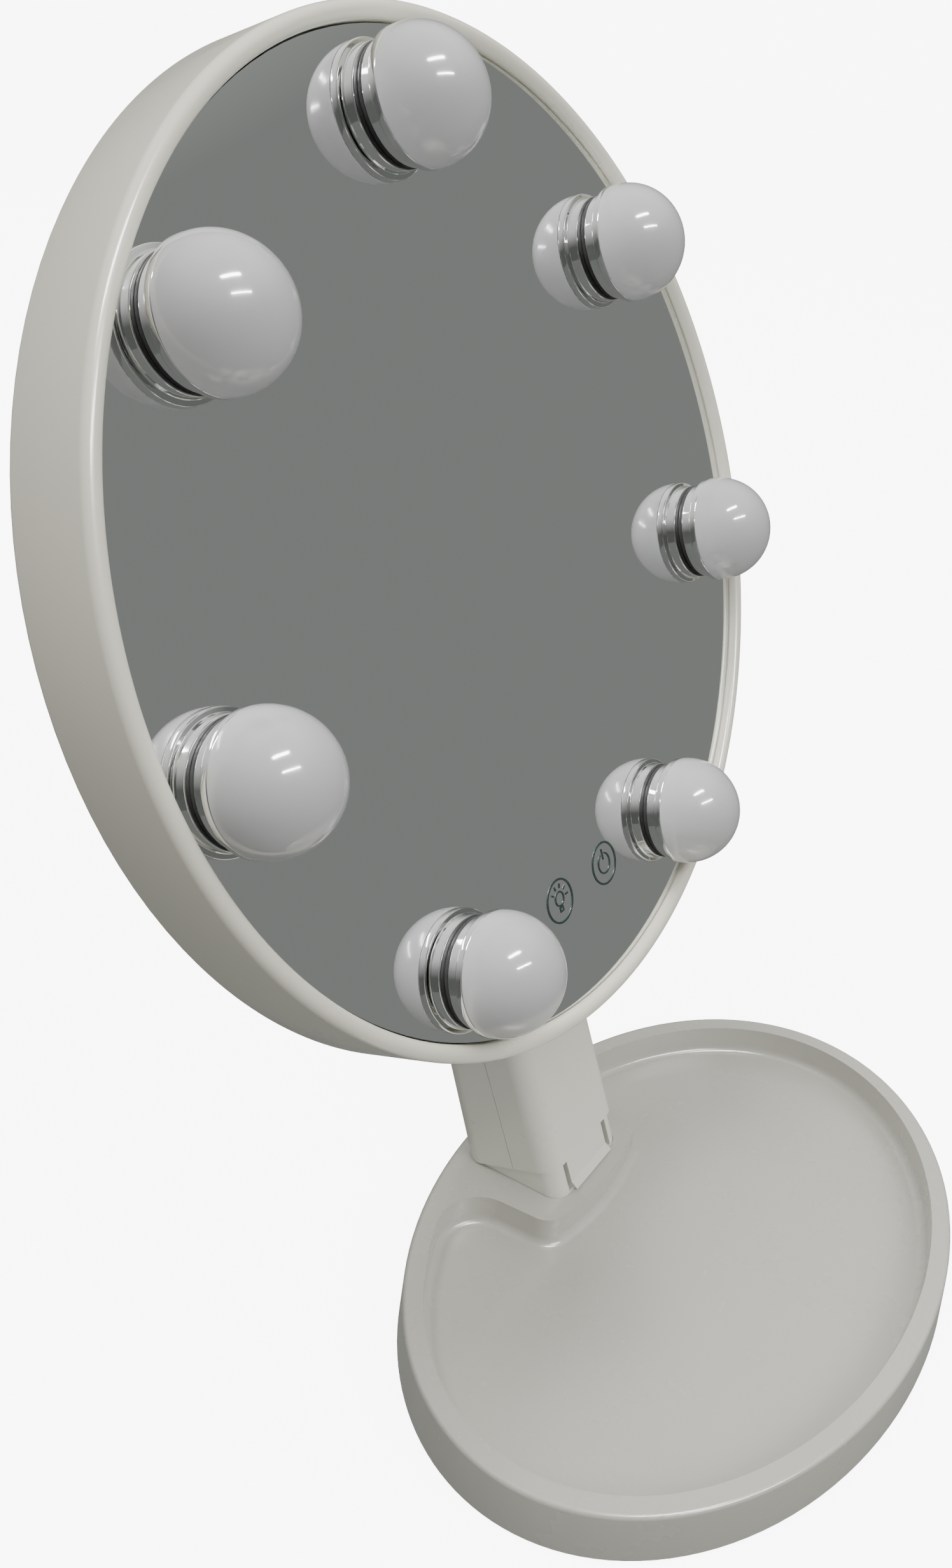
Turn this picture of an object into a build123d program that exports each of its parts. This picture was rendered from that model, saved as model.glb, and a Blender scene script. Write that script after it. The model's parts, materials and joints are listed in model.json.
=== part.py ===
"""Lighted vanity mirror: a round mirror head with a ring of frosted bulbs, hinged on a leaning
post that stands in an oval trinket tray. Millimetres, +Z up, the user on the -Y side.
The origin lies on the table, under the centre of the tray."""

import os
from math import asin, atan2, cos, hypot, radians, sin, tan

from build123d import *

os.makedirs("parts", exist_ok=True)

# ---- driving sizes ----
LEAN = 20.5  # degrees that the post and the resting head lean back

# tray
TRAY_HALF_WIDTH = 97.7
TRAY_HALF_DEPTH = 70.8
TRAY_DRAFT = 1.0
RIM_TOP = 15.6
RIM_WIDTH = 5.5
TRAY_FLOOR_TOP = 6.3
TRAY_FLOOR_WALL = 1.5
DISH_FILLET = 2.5
FOOT_PROUD = 1.0  # how far the rubber feet stand below the tray's lower edge
BASE_PLATE_THICK = 1.4
BALLAST_THICK = 2.2
STACK_GAP = 0.1  # between the stacked plates under the tray
BOSS_AHEAD = 5.5  # land left in front of the post
BOSS_BESIDE = 7.6  # and beside it
BOSS_BOW = 2.7  # how far its front edge bows forward
BOSS_CORNER_WIDE = 4.1
BOSS_CORNER_DEEP = 9.4
BOSS_SPLAY = 2.0
BOSS_TOP_WALL = 5.0
BOSS_SIDE_WALL = 2.6

# post
POST_FROM_BACK = 21.5  # from the tray's back to the post's middle line, on the boss's top
POST_WIDTH = 36.0
POST_DEPTH = 32.0
POST_CORNER = 6.0
POST_WALL = 2.2
POST_START = 4.6  # along the post, where its shells begin above the boss
SEAM_BEHIND_FRONT = 14.0
SEAM_GAP = 0.2
PLUG_INSET = 1.0
PLUG_WALL = 2.8
PLUG_REACH = 26.0
TONGUE_HALF_WIDTH = 9.8
SLOT_WIDTH = 2.0
SLOT_LONG = 17.2
LIP_START = -5.6  # along the post, the tongue's snap lip
LIP_END = -3.4
LIP_PROUD = 1.4

# head
HEAD_UP = 178.5  # along the post, from the boss's top to the mirror's centre
MIRROR_RADIUS = 119.0
MIRROR_THICK = 2.0
GLASS_GAP = 0.4
LIP_WIDTH = 4.4
BEZEL_LIP = 2.9
DRUM_DEPTH = 19.9
COVER_THICK = 2.0
COVER_INSET = 0.3  # the cover's edge stands inside the drum's
COVER_EDGE = 1.6
DRUM_WALL = 2.4
SKIRT_WALL = 2.0
SKIRT_REACH = 3.0
TAPE_THICK = 0.8
TAPE_BORE = 60.0
TAPE_WIDTH = 28.0
CARRIER_THICK = 1.8
LEDGE_THICK = 2.0
LEDGE_WIDTH = 5.4
PILLAR_RADIUS = 3.2
PILLAR_REACH = 8.0
HEAD_GAP = 0.4  # between the head's back and the post's front
KEY_RADIUS = 6.0
KEY_APART = 23.0
KEY_FROM_EDGE = 29.2
KEY_LINE = 0.45
KEY_THICK = 0.15
BOARD_THICK = 1.6
TOUCH_BOARD_WIDE = 44.0
TOUCH_BOARD_HIGH = 16.0
CONTROL_BOARD_WIDE = 50.0
CONTROL_BOARD_HIGH = 32.0
CONTROL_BOARD_DOWN = 50.0
KEY_SIGN_RADIUS = 3.0
LAMP_SIGN_RADIUS = 2.1

# tilt hinge
HINGE_BEHIND_HEAD = 11.0
PIN_RADIUS = 2.5
PIN_CLEARANCE = 0.05
EAR_THICK = 4.0
EAR_RADIUS = 9.0
YOKE_PLATE_THICK = 2.5
YOKE_MARGIN = 9.1  # plate outboard of each ear
YOKE_HALF_HIGH = 22.0
WASHER_THICK = 0.8
WASHER_GAP = 0.05
WASHER_RADIUS = 7.5
SLEEVE_WALL = 1.45
PIN_HEAD_RADIUS = 4.6
PIN_HEAD_THICK = 2.4
HINGE_NUT_THICK = 4.0

# bulbs
BULB_COUNT = 7
BULB_STEP = 50.57  # degrees between neighbours; the gap left at the bottom holds the touch keys
BULB_FROM_EDGE = 16.6
GLOBE_RADIUS = 15.2
GLOBE_CENTRE_UP = 6.9
GLOBE_WALL = 1.2
GASKET_THICK = 1.1
COLLAR_STEP_IN = 1.4  # the lower band is this much smaller than the globe
COLLAR_STEP_UP = 4.0
COLLAR_SEAT_UP = 5.0
COLLAR_TOP = 6.4
COLLAR_WALL = 1.2
STEM_RADIUS = 8.0
STEM_CLEARANCE = 0.2
STEM_BORE = 6.4
STEM_REACH = 8.0  # below the mirror's face
BULB_NUT_RADIUS = 10.8
BULB_NUT_THICK = 2.0
WIRE_RADIUS = 0.8
WIRE_FROM_BULBS = 22.4

# battery bay, measured along the post and across it
CELL_RADIUS = 5.2
CELL_PITCH = 10.5
CELL_LONG = 44.5
CELL_START = 40.2
BAY_WALL = 1.0
DOOR_UP = 36.0
DOOR_LONG = 52.0
DOOR_WIDE = 23.0
DOOR_THICK = 1.8
DOOR_GAP = 0.3
DOOR_PIN_RADIUS = 0.5
INLET_UP = 31.0
INLET_WIDE = 8.2
INLET_HIGH = 3.4
INLET_DEEP = 6.0

# fasteners
SCREW_RADIUS = 1.25
SCREW_HEAD_RADIUS = 2.5
SCREW_HEAD_HIGH = 1.6
SCREW_HOLE_RADIUS = 1.3
HEAD_HOLE_RADIUS = 2.7
PAN_SEAT_RECESS = 2.2  # housing screws, below the cover's back
FIT = 0.15  # all-round clearance between parts that drop into each other

# ---- sizes that follow ----
POST_Y = TRAY_HALF_DEPTH - POST_FROM_BACK
BOSS_FRONT = POST_Y - POST_DEPTH / 2 - BOSS_AHEAD
BOSS_HALF_WIDTH = POST_WIDTH / 2 + BOSS_BESIDE
BEZEL_BORE = MIRROR_RADIUS + GLASS_GAP
BEZEL_RADIUS = BEZEL_BORE + LIP_WIDTH
LEDGE_BORE = BEZEL_BORE - LEDGE_WIDTH
TAPE_RADIUS = TAPE_BORE + TAPE_WIDTH
KEY_DOWN = MIRROR_RADIUS - KEY_FROM_EDGE
BULB_RING = MIRROR_RADIUS - BULB_FROM_EDGE
COLLAR_LOW_RADIUS = GLOBE_RADIUS - COLLAR_STEP_IN
WIRE_RING = BULB_RING - WIRE_FROM_BULBS

# ---- planes ----
slope, rise = sin(radians(LEAN)), cos(radians(LEAN))
along_post = (0, slope, rise)
out_of_mirror = (0, -rise, slope)
# on the boss's top: x to the right, y square to the post and rearward, z up the post
post_plane = Plane((0, POST_Y, RIM_TOP), x_dir=(1, 0, 0), z_dir=along_post)
# the post's side view: x rearward, y up the post
side_plane = Plane(post_plane.origin, x_dir=post_plane.y_dir, z_dir=(1, 0, 0))
mirror_behind_post_line = -(POST_DEPTH / 2 + HEAD_GAP + DRUM_DEPTH)
mirror_centre = post_plane.from_local_coords(Vector(0, mirror_behind_post_line, HEAD_UP))
# on the mirror's face: x to the right, y up the mirror, z out to the user
head_plane = Plane(mirror_centre, x_dir=(1, 0, 0), z_dir=out_of_mirror)
head_axis = Axis(mirror_centre, out_of_mirror)
# half section through the head: x outward, y towards the user
section_plane = Plane(mirror_centre, x_dir=(1, 0, 0), z_dir=(0, -slope, -rise))

hinge_back = -POST_DEPTH / 2 - HEAD_GAP + HINGE_BEHIND_HEAD
hinge_centre = post_plane.from_local_coords(Vector(0, hinge_back, HEAD_UP))
hinge_plane = Plane(hinge_centre, x_dir=post_plane.y_dir, z_dir=(1, 0, 0))

# heights in the head, measured from the mirror's face
tape_top = -MIRROR_THICK
carrier_top = tape_top - TAPE_THICK
carrier_bottom = carrier_top - CARRIER_THICK
ledge_bottom = carrier_bottom - LEDGE_THICK
cover_front = -DRUM_DEPTH + COVER_THICK


def finish(solid, name):
    solid.part.label = name
    export_step(solid.part, f"parts/{name}.step")


def bulb_angles():
    return [90 - BULB_STEP * (place - (BULB_COUNT - 1) / 2) for place in range(BULB_COUNT)]


def bulb_places(radius=BULB_RING):
    return [(radius * cos(radians(a)), radius * sin(radians(a))) for a in bulb_angles()]


def mid_places(radius):
    """Points half-way between neighbouring bulbs, and one at the bottom."""
    spots = [a - BULB_STEP / 2 for a in bulb_angles()[:-1]] + [-90]
    return [(radius * cos(radians(a)), radius * sin(radians(a))) for a in spots]


top_radius = HINGE_BEHIND_HEAD - HEAD_GAP


def post_form(inset, start):
    """The post's tapering body between a straight front and a rounded top at the hinge."""
    radius = top_radius - inset
    front = hinge_back - radius
    foot = (POST_DEPTH / 2 - inset, start)
    run, climb = hinge_back - foot[0], HEAD_UP - foot[1]
    reach = hypot(run, climb)
    angle = atan2(climb, run) - asin(radius / reach)
    length = (reach**2 - radius**2) ** 0.5
    touch = (foot[0] + length * cos(angle), foot[1] + length * sin(angle))
    with BuildPart() as form:
        with BuildSketch(side_plane):
            with BuildLine():
                Line((front, start), foot)
                Line(foot, touch)
                ThreePointArc(touch, (hinge_back, HEAD_UP + radius), (front, HEAD_UP))
                Line((front, HEAD_UP), (front, start))
            make_face()
        extrude(amount=POST_WIDTH / 2 - inset, both=True)
        long_edges = form.edges().filter_by(lambda e: e.length > 20 and not near_foot(e, start))
        fillet(long_edges, POST_CORNER - inset)
    return form.part


def near_foot(edge, start):
    """True for an edge that lies in the post's lower end face."""
    return abs(post_plane.to_local_coords(edge @ 0.5).Z - start) < 0.01


# ================= base =================
def boss_outline(inset=0.0):
    """The land that carries the post: a bowed front, rounded corners, sides that open out."""
    front = BOSS_FRONT + inset
    half = BOSS_HALF_WIDTH - inset
    corner = half - BOSS_CORNER_WIDE
    side_start = front + BOSS_CORNER_DEEP
    bend = (half - 0.3 * BOSS_CORNER_WIDE, (front + BOSS_BOW + side_start) / 2 - 1)
    far = TRAY_HALF_DEPTH
    with BuildSketch(Plane.XY) as sketch:
        with BuildLine():
            ThreePointArc((-corner, front + BOSS_BOW), (0, front), (corner, front + BOSS_BOW))
            ThreePointArc((corner, front + BOSS_BOW), bend, (half, side_start))
            Line((half, side_start), (half + BOSS_SPLAY, far))
            Line((half + BOSS_SPLAY, far), (-half - BOSS_SPLAY, far))
            Line((-half - BOSS_SPLAY, far), (-half, side_start))
            ThreePointArc((-half, side_start), (-bend[0], bend[1]), (-corner, front + BOSS_BOW))
        make_face()
    return sketch.sketch


tray_bottom = FOOT_PROUD
recess_half_width = TRAY_HALF_WIDTH - RIM_WIDTH
recess_half_depth = TRAY_HALF_DEPTH - RIM_WIDTH
floor_under = TRAY_FLOOR_TOP - TRAY_FLOOR_WALL
pocket_top = RIM_TOP - BOSS_TOP_WALL
plate_half_width = recess_half_width - 1.0
plate_half_depth = recess_half_depth - 1.0
FLANGE_THICK = 3.0
flange_bottom = pocket_top - FLANGE_THICK
FLANGE_FROM_BACK = 4.8
SCREW_EDGE = 1.2  # plastic left round a screw hole
flange_back = TRAY_HALF_DEPTH - FLANGE_FROM_BACK
flange_screw_x = POST_WIDTH / 2 - PLUG_INSET + FIT + SCREW_EDGE + SCREW_RADIUS
flange_screw_rows = (BOSS_FRONT + 9.9, flange_back - 8.0)
flange_screws_at = [(x, y) for x in (-flange_screw_x, flange_screw_x) for y in flange_screw_rows]
base_screws_at = [(-60, 0), (60, 0), (-32, -42), (32, -42), (0, 16)]
base_post_radius = 4.0
boss_sketch = boss_outline()
pocket_sketch = boss_outline(BOSS_SIDE_WALL)


BAR_START = -20.0  # well below the boss, where the plug's bar is drawn from


def plug_form(outset=0.0, reach=PLUG_REACH):
    """The leaning foot of the post, as a plain bar; outset makes the hole it passes through."""
    with BuildPart() as bar:
        add(post_form(PLUG_INSET - outset, BAR_START))
        split(bisect_by=post_plane.offset(reach), keep=Keep.BOTTOM)
    return bar.part


with BuildPart() as base_tray:
    with BuildSketch(Plane.XY.offset(tray_bottom)):
        Ellipse(TRAY_HALF_WIDTH + TRAY_DRAFT, TRAY_HALF_DEPTH + TRAY_DRAFT)
    with BuildSketch(Plane.XY.offset(RIM_TOP)):
        Ellipse(TRAY_HALF_WIDTH, TRAY_HALF_DEPTH)
    loft()
    fillet(base_tray.edges().group_by(Axis.Z)[-1], 1.2)
    # hollow underneath for the plates
    with BuildSketch(Plane.XY.offset(tray_bottom)):
        Ellipse(plate_half_width + FIT, plate_half_depth + FIT)
    extrude(amount=floor_under - tray_bottom, mode=Mode.SUBTRACT)
    # the pocket inside the boss takes the plug's flange
    with BuildSketch(Plane.XY.offset(floor_under)):
        add(pocket_sketch)
        with Locations((0, TRAY_HALF_DEPTH)):
            Rectangle(120, 2 * (TRAY_HALF_DEPTH - flange_back - FIT), mode=Mode.SUBTRACT)
    extrude(amount=pocket_top - floor_under, mode=Mode.SUBTRACT)
    add(plug_form(FIT), mode=Mode.SUBTRACT)
    with Locations(*[Location((x, y, pocket_top)) for x, y in flange_screws_at]):
        Cylinder(SCREW_HOLE_RADIUS, 8, mode=Mode.SUBTRACT)
    # posts that the base plate screws into
    with BuildSketch(Plane.XY.offset(tray_bottom + BASE_PLATE_THICK)):
        with Locations(*base_screws_at):
            Circle(base_post_radius)
            Circle(SCREW_HOLE_RADIUS, mode=Mode.SUBTRACT)
    extrude(amount=floor_under - tray_bottom - BASE_PLATE_THICK)
    # the dished floor, which flows round the boss
    with BuildSketch(Plane.XY.offset(RIM_TOP)) as dish:
        Ellipse(recess_half_width, recess_half_depth)
        add(boss_sketch, mode=Mode.SUBTRACT)
        inner_corners = dish.vertices().filter_by(lambda v: v.Y > POST_Y + 6)
        fillet(inner_corners, 12)
    extrude(amount=-(RIM_TOP - TRAY_FLOOR_TOP), mode=Mode.SUBTRACT)
    level_faces = base_tray.faces().filter_by(Plane.XY)
    dish_floor = level_faces.filter_by(lambda f: abs(f.center().Z - TRAY_FLOOR_TOP) < 0.01)
    fillet(dish_floor.sort_by(SortBy.AREA)[-1].outer_wire().edges(), DISH_FILLET)
finish(base_tray, "base_tray")

ballast_bottom = tray_bottom + BASE_PLATE_THICK + STACK_GAP
with BuildPart() as ballast_plate:
    with BuildSketch(Plane.XY.offset(ballast_bottom)):
        Ellipse(plate_half_width - 2, plate_half_depth - 2)
        with Locations(*base_screws_at):
            Circle(base_post_radius + 0.5, mode=Mode.SUBTRACT)
    extrude(amount=BALLAST_THICK)
    chamfer(ballast_plate.edges().group_by(Axis.Z)[-1].sort_by(SortBy.LENGTH)[-1], 0.4)
finish(ballast_plate, "ballast_plate")

feet_back = TRAY_HALF_DEPTH - 17.8
feet_front = 20.8 - TRAY_HALF_DEPTH
feet_side = TRAY_HALF_WIDTH - 17.7
FEET = [
    (0, 0),
    (-30, feet_back),
    (30, feet_back),
    (-feet_side, 10),
    (feet_side, 10),
    (-36, feet_front),
    (36, feet_front),
]
FOOT_RADIUS = 6.5
FOOT_SEAT = 0.6
with BuildPart() as base_plate:
    with BuildSketch(Plane.XY.offset(tray_bottom)):
        Ellipse(plate_half_width, plate_half_depth)
    extrude(amount=BASE_PLATE_THICK)
    with BuildSketch(Plane.XY.offset(tray_bottom)):
        with Locations(*FEET):
            Circle(FOOT_RADIUS)
    extrude(amount=FOOT_SEAT, mode=Mode.SUBTRACT)
    with Locations(*[Location((x, y, tray_bottom), (180, 0, 0)) for x, y in base_screws_at]):
        CounterSinkHole(SCREW_HOLE_RADIUS, SCREW_HEAD_RADIUS + 0.05, depth=BASE_PLATE_THICK)
finish(base_plate, "base_plate")


def countersunk_screw(length):
    """Head up at z = 0, shank along -z."""
    with BuildPart() as screw:
        cone = SCREW_HEAD_RADIUS - SCREW_RADIUS
        Cylinder(SCREW_RADIUS, length, align=(Align.CENTER, Align.CENTER, Align.MAX))
        Cone(SCREW_RADIUS, SCREW_HEAD_RADIUS, cone, align=(Align.CENTER, Align.CENTER, Align.MAX))
        with BuildSketch():
            Rectangle(3.0, 0.6)
            Rectangle(0.6, 3.0)
        extrude(amount=-0.6, mode=Mode.SUBTRACT)
    return screw.part


def pan_screw(length):
    """Underside of the head at z = 0, shank along -z, cross recess on top."""
    with BuildPart() as screw:
        Cylinder(SCREW_RADIUS, length, align=(Align.CENTER, Align.CENTER, Align.MAX))
        Cylinder(SCREW_HEAD_RADIUS, SCREW_HEAD_HIGH, align=(Align.CENTER, Align.CENTER, Align.MIN))
        fillet(screw.edges().group_by(Axis.Z)[-1], 0.5)
        with BuildSketch(Plane.XY.offset(SCREW_HEAD_HIGH)):
            Rectangle(3.0, 0.6)
            Rectangle(0.6, 3.0)
        extrude(amount=-0.8, mode=Mode.SUBTRACT)
    return screw.part


with BuildPart() as base_screws:
    with Locations(*[Location((x, y, tray_bottom), (180, 0, 0)) for x, y in base_screws_at]):
        add(countersunk_screw(3.6))
finish(base_screws, "base_screws")

with BuildPart() as rubber_feet:
    with BuildSketch(Plane.XY):
        with Locations(*FEET):
            Circle(FOOT_RADIUS - 0.1)
    extrude(amount=tray_bottom + FOOT_SEAT)
    fillet(rubber_feet.edges().group_by(Axis.Z)[0], 0.4)
finish(rubber_feet, "rubber_feet")

# ================= post =================
seam_plane = Plane(
    post_plane.from_local_coords(Vector(0, SEAM_BEHIND_FRONT - POST_DEPTH / 2, 0)),
    x_dir=(1, 0, 0),
    z_dir=-post_plane.y_dir,
)
post_outer = post_form(0.0, POST_START)
post_inner = post_form(POST_WALL, POST_START - 1)
seam_back = SEAM_BEHIND_FRONT - POST_DEPTH / 2

run_back = POST_DEPTH / 2 - hinge_back
climb_up = HEAD_UP - POST_START
taper = atan2(run_back, climb_up) - asin(top_radius / hypot(run_back, climb_up))
out_rear = post_plane.y_dir * cos(taper) + post_plane.z_dir * sin(taper)


def on_back(up):
    """On the post's sloping back: x to the left, y up the back, z outward."""
    rear = POST_DEPTH / 2 - (up - POST_START) * tan(taper)
    spot = post_plane.from_local_coords(Vector(0, rear, up))
    return Plane(spot, x_dir=(-1, 0, 0), z_dir=out_rear)


def in_post(x, back, up):
    return Location(post_plane) * Location((x, back, up))


door_plane = on_back(DOOR_UP)
door_pin_in = DOOR_THICK / 2
door_pin_up = DOOR_GAP + DOOR_THICK / 2
post_screws_at = [(-9.2, 31.0), (9.2, 31.0), (0.0, 104.0), (0.0, 150.0)]
POST_SCREW_SEAT = 4.0  # behind the post's middle line
POST_SCREW_LONG = 13.0
REAR_PILLAR_RADIUS = 4.0


def screw_line(x, up, back):
    """A place on a post screw's line, with z rearward."""
    return Location(post_plane) * Location((x, back, up), (-90, 0, 0))


def shell_blank():
    with BuildPart() as shell:
        add(post_outer)
        add(post_inner, mode=Mode.SUBTRACT)
        add(plug_form(FIT, PLUG_REACH + FIT), mode=Mode.SUBTRACT)
        # the lower edge is cut level, just clear of the boss
        with Locations((0, POST_Y, RIM_TOP - 25 + 0.3)):
            Box(120, 90, 50, mode=Mode.SUBTRACT)
        with Locations(Location(hinge_plane)):
            Cylinder(PIN_RADIUS + SLEEVE_WALL + PIN_CLEARANCE, POST_WIDTH + 2, mode=Mode.SUBTRACT)
    return shell.part


blank = shell_blank()
with BuildPart() as post_front_shell:
    add(blank)
    split(bisect_by=seam_plane, keep=Keep.TOP)
    front_wall = POST_DEPTH / 2 - POST_WALL
    with Locations(*[screw_line(x, up, seam_back) for x, up in post_screws_at]):
        Cylinder(PILLAR_RADIUS, front_wall + seam_back + 0.5, align=(Align.CENTER, Align.CENTER, Align.MAX))
        Cylinder(
            SCREW_HOLE_RADIUS,
            PILLAR_REACH,
            align=(Align.CENTER, Align.CENTER, Align.MAX),
            mode=Mode.SUBTRACT,
        )
finish(post_front_shell, "post_front_shell")

BAY_FRONT = 13.4  # the bay's walls reach this far ahead of the post's middle line
bay_half = DOOR_WIDE / 2
cell_end = CELL_START + CELL_LONG
with BuildPart() as bay_walls:
    bay_long = DOOR_LONG - 2 * BAY_WALL
    bay_mid = DOOR_UP + BAY_WALL + bay_long / 2
    with Locations(in_post(0, 0, bay_mid)):
        Box(2 * bay_half + 2 * BAY_WALL, 2 * BAY_FRONT, bay_long)
        Box(2 * bay_half, 2 * BAY_FRONT, bay_long - 2 * BAY_WALL, mode=Mode.SUBTRACT)
    add(post_form(POST_WALL / 2, POST_START), mode=Mode.INTERSECT)

with BuildPart() as post_rear_shell:
    add(blank)
    split(bisect_by=seam_plane.offset(-SEAM_GAP), keep=Keep.BOTTOM)
    add(bay_walls.part)
    with Locations(*[screw_line(x, up, seam_back + SEAM_GAP) for x, up in post_screws_at]):
        Cylinder(REAR_PILLAR_RADIUS, POST_DEPTH, align=(Align.CENTER, Align.CENTER, Align.MIN))
    add(post_outer, mode=Mode.INTERSECT)
    with Locations(*[screw_line(x, up, seam_back) for x, up in post_screws_at]):
        Cylinder(
            SCREW_HOLE_RADIUS, 30, align=(Align.CENTER, Align.CENTER, Align.MIN), mode=Mode.SUBTRACT
        )
    with Locations(*[screw_line(x, up, POST_SCREW_SEAT) for x, up in post_screws_at]):
        Cylinder(
            HEAD_HOLE_RADIUS, 30, align=(Align.CENTER, Align.CENTER, Align.MIN), mode=Mode.SUBTRACT
        )
    # the door's opening and the holes for its pivots
    with BuildSketch(door_plane.offset(1)):
        with Locations((0, DOOR_LONG / 2)):
            Rectangle(DOOR_WIDE, DOOR_LONG)
    extrude(amount=-POST_WALL - 1.5, mode=Mode.SUBTRACT)
    with Locations(Location(door_plane) * Location((0, door_pin_up, -door_pin_in), (0, 90, 0))):
        Cylinder(DOOR_PIN_RADIUS + 0.06, DOOR_WIDE + 2.6, mode=Mode.SUBTRACT)
    # the opening for the power inlet
    with BuildSketch(on_back(INLET_UP).offset(1)):
        RectangleRounded(INLET_WIDE + 2 * FIT, INLET_HIGH + 2 * FIT, 1.4)
    extrude(amount=-POST_WALL - 1.5, mode=Mode.SUBTRACT)
finish(post_rear_shell, "post_rear_shell")

with BuildPart() as foot_plug:
    add(plug_form())
    add(post_form(PLUG_INSET + PLUG_WALL, BAR_START - 1), mode=Mode.SUBTRACT)
    with Locations((0, POST_Y, flange_bottom - 25)):
        Box(120, 120, 50, mode=Mode.SUBTRACT)
    # the flange under the boss
    with BuildSketch(Plane.XY.offset(flange_bottom)):
        add(boss_outline(BOSS_SIDE_WALL + FIT))
        with Locations((0, TRAY_HALF_DEPTH)):
            Rectangle(120, 2 * (TRAY_HALF_DEPTH - flange_back), mode=Mode.SUBTRACT)
        with Locations((0, POST_Y - 4.1)):
            Rectangle(POST_WIDTH - 10, POST_DEPTH - 15, mode=Mode.SUBTRACT)
    extrude(amount=FLANGE_THICK)
    # two slots free the snap tongue, whose lip is bevelled
    slot_x = TONGUE_HALF_WIDTH + SLOT_WIDTH / 2
    front = PLUG_INSET - POST_DEPTH / 2
    slot_mid = SLOT_LONG / 2 + LIP_START + 0.4
    with Locations(in_post(-slot_x, front, slot_mid), in_post(slot_x, front, slot_mid)):
        Box(SLOT_WIDTH, 2 * PLUG_WALL + 1, SLOT_LONG, mode=Mode.SUBTRACT)
    with BuildSketch(side_plane):
        with BuildLine():
            Polyline(
                (front + 1, LIP_END),
                (front, LIP_END),
                (front - LIP_PROUD, LIP_START + 0.2),
                (front - LIP_PROUD, LIP_START),
                (front, LIP_START + 0.4),
                (front + 1, LIP_START + 0.7),
                close=True,
            )
        make_face()
    extrude(amount=TONGUE_HALF_WIDTH, both=True)
    with Locations(*[Location((x, y, flange_bottom)) for x, y in flange_screws_at]):
        Cylinder(SCREW_HOLE_RADIUS, 3 * FLANGE_THICK, mode=Mode.SUBTRACT)
finish(foot_plug, "foot_plug")

with BuildPart() as foot_screws:
    with Locations(*[Location((x, y, flange_bottom), (180, 0, 0)) for x, y in flange_screws_at]):
        add(pan_screw(6.6))
finish(foot_screws, "foot_screws")

with BuildPart() as post_screws:
    with Locations(*[screw_line(x, up, POST_SCREW_SEAT) for x, up in post_screws_at]):
        add(pan_screw(POST_SCREW_LONG))
finish(post_screws, "post_screws")

with BuildPart() as power_inlet:
    with BuildSketch(on_back(INLET_UP).offset(-0.4)):
        RectangleRounded(INLET_WIDE, INLET_HIGH, 1.2)
    extrude(amount=-INLET_DEEP)
    with BuildSketch(on_back(INLET_UP).offset(-0.4)):
        RectangleRounded(INLET_WIDE - 0.8, INLET_HIGH - 0.8, 0.9)
    extrude(amount=-INLET_DEEP + 0.8, mode=Mode.SUBTRACT)
    with BuildSketch(on_back(INLET_UP).offset(-INLET_DEEP - 0.4)):
        Rectangle(INLET_WIDE - 2.6, 0.8)
    extrude(amount=INLET_DEEP - 1.0)
finish(power_inlet, "power_inlet")

with BuildPart() as battery_door:
    with BuildSketch(door_plane):
        top_of_door = DOOR_LONG - DOOR_GAP
        with Locations((0, (door_pin_up + top_of_door) / 2)):
            Rectangle(DOOR_WIDE - 2 * DOOR_GAP, top_of_door - door_pin_up)
    extrude(amount=-DOOR_THICK)
    door_tip = door_plane.from_local_coords(Vector(0, top_of_door, -door_pin_in))
    fillet(battery_door.edges().filter_by(lambda e: (e @ 0.5 - door_tip).length < 1.0), 0.4)
    with Locations(Location(door_plane) * Location((0, door_pin_up, -door_pin_in), (0, 90, 0))):
        Cylinder(DOOR_THICK / 2, DOOR_WIDE - 2 * DOOR_GAP)
        Cylinder(DOOR_PIN_RADIUS, DOOR_WIDE + 2.2)
    # finger grips
    with BuildSketch(door_plane):
        with Locations(*[(0, DOOR_LONG - 6.0 - 2.2 * row) for row in range(4)]):
            SlotOverall(12, 1.0)
    extrude(amount=-0.6, mode=Mode.SUBTRACT)
finish(battery_door, "battery_door")

cells_at = [(x, back) for x in (-CELL_PITCH / 2, CELL_PITCH / 2) for back in (-7.9, -7.9 + CELL_PITCH)]
with BuildPart() as battery_cells:
    with Locations(*[in_post(x, back, CELL_START) for x, back in cells_at]):
        Cylinder(CELL_RADIUS, CELL_LONG - 0.8, align=(Align.CENTER, Align.CENTER, Align.MIN))
        Cylinder(1.9, CELL_LONG, align=(Align.CENTER, Align.CENTER, Align.MIN))
finish(battery_cells, "battery_cells")

CONTACT_THICK = 0.4
bay_low = DOOR_UP + 2 * BAY_WALL
bay_high = DOOR_UP + DOOR_LONG - 2 * BAY_WALL
with BuildPart() as battery_contacts:
    with Locations(*[in_post(x, back, bay_low + 0.02) for x, back in cells_at]):
        Box(8, 8, CONTACT_THICK, align=(Align.CENTER, Align.CENTER, Align.MIN))
        Cone(3.2, 2.0, CELL_START - bay_low - 0.12, align=(Align.CENTER, Align.CENTER, Align.MIN))
    with Locations(*[in_post(x, back, bay_high - 0.02) for x, back in cells_at]):
        Box(8, 8, CONTACT_THICK, align=(Align.CENTER, Align.CENTER, Align.MAX))
        Cylinder(1.4, bay_high - cell_end - 0.12, align=(Align.CENTER, Align.CENTER, Align.MAX))
finish(battery_contacts, "battery_contacts")

# ================= tilt hinge =================
ear_inner = POST_WIDTH / 2 + WASHER_THICK + 2 * WASHER_GAP
ear_outer = ear_inner + EAR_THICK
hinge_down = -(DRUM_DEPTH + HINGE_BEHIND_HEAD)  # from the mirror's face
yoke_front = cover_front + YOKE_PLATE_THICK


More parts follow.
